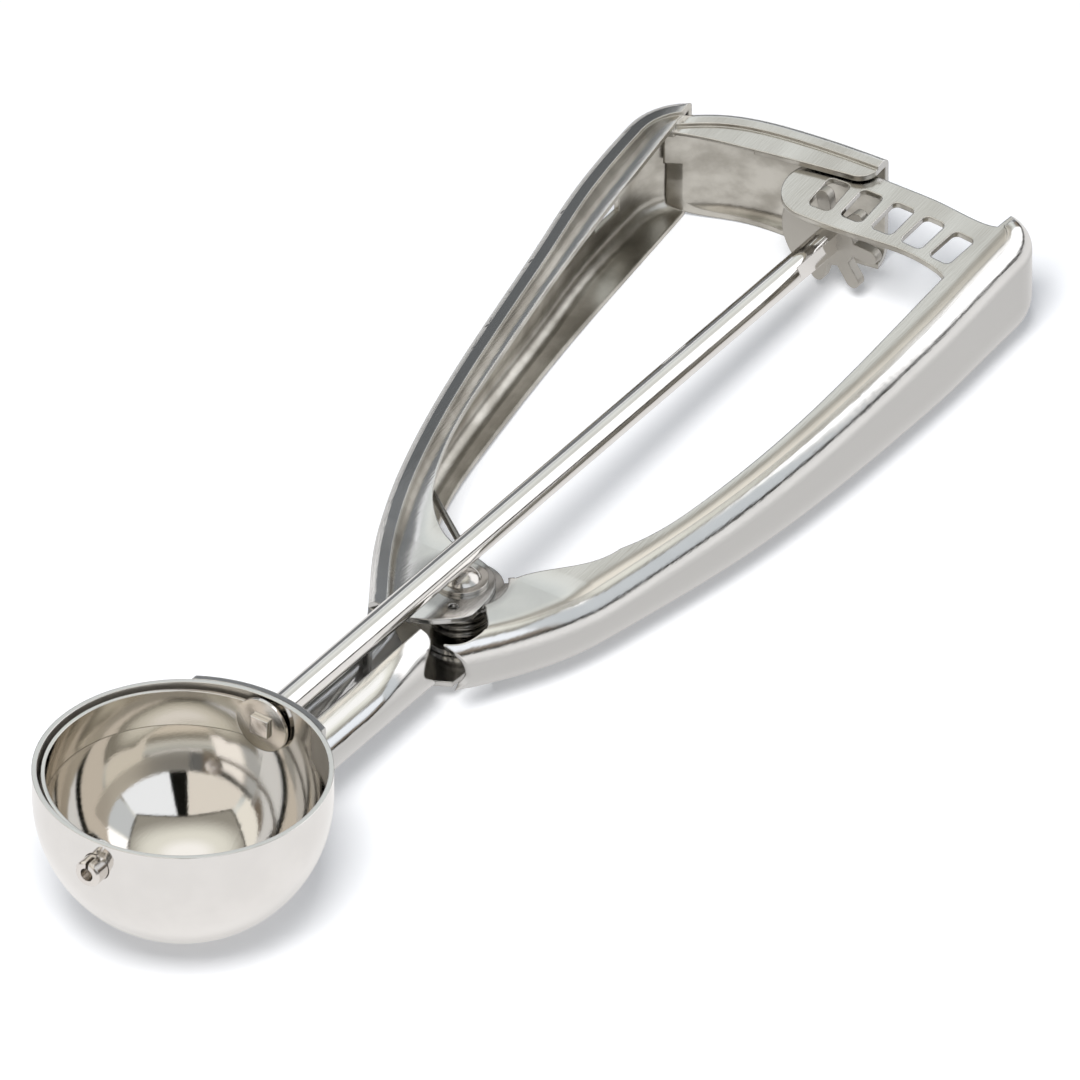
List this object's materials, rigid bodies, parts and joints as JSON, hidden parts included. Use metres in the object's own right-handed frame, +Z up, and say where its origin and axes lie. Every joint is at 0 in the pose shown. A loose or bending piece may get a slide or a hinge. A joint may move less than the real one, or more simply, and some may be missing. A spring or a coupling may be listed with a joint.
{
  "type": "ice cream scoop",
  "caption": "Squeeze-handle ice cream scoop with a round bowl and a scraper blade turned through a slotted rack and a pinion.",
  "frame": {"origin": "middle of the bounding box, on the table the scoop lies on", "axes": "+X along the length from the bowl to the tails of the handles, +Y to the fixed handle, +Z up, out of the bowl's mouth"},
  "size_m": [0.2128, 0.069, 0.0292],
  "materials": {
    "polished_steel": "mirror-polished stainless steel",
    "satin_steel": "satin stainless steel",
    "spring_steel": "drawn wire"
  },
  "bodies": {
    "frame": {"bowl": "polished_steel", "fixed_handle": "polished_steel", "pivot_rivet": "polished_steel", "rivet_washer": "satin_steel", "spring_sleeve": "satin_steel", "return_spring": "spring_steel"},
    "squeeze": {"squeeze_handle": "polished_steel"},
    "rotor": {"shaft": "polished_steel", "pinion": "satin_steel", "scraper": "polished_steel", "scraper_pin": "polished_steel"}
  },
  "joints": [
    {"name": "squeeze_hinge", "type": "hinge", "parent": "frame", "child": "squeeze", "pos_m": [-0.0073, -0.00134, 0.00722], "axis": [0.0732, 0, 0.9973], "range_deg": [0, 11.19], "stiffness_Nm_per_rad": 1.2, "springref_deg": -20.05, "deforming": ["return_spring"]},
    {"name": "scraper_turn", "type": "hinge", "parent": "frame", "child": "rotor", "pos_m": [-0.08084, -0.00134, 0.023], "axis": [0.9973, 0, -0.0732], "range_deg": [-176, 0]}
  ],
  "couplings": [
    {"joint": "scraper_turn", "follows": "squeeze_hinge", "ratio": -15.734}
  ]
}
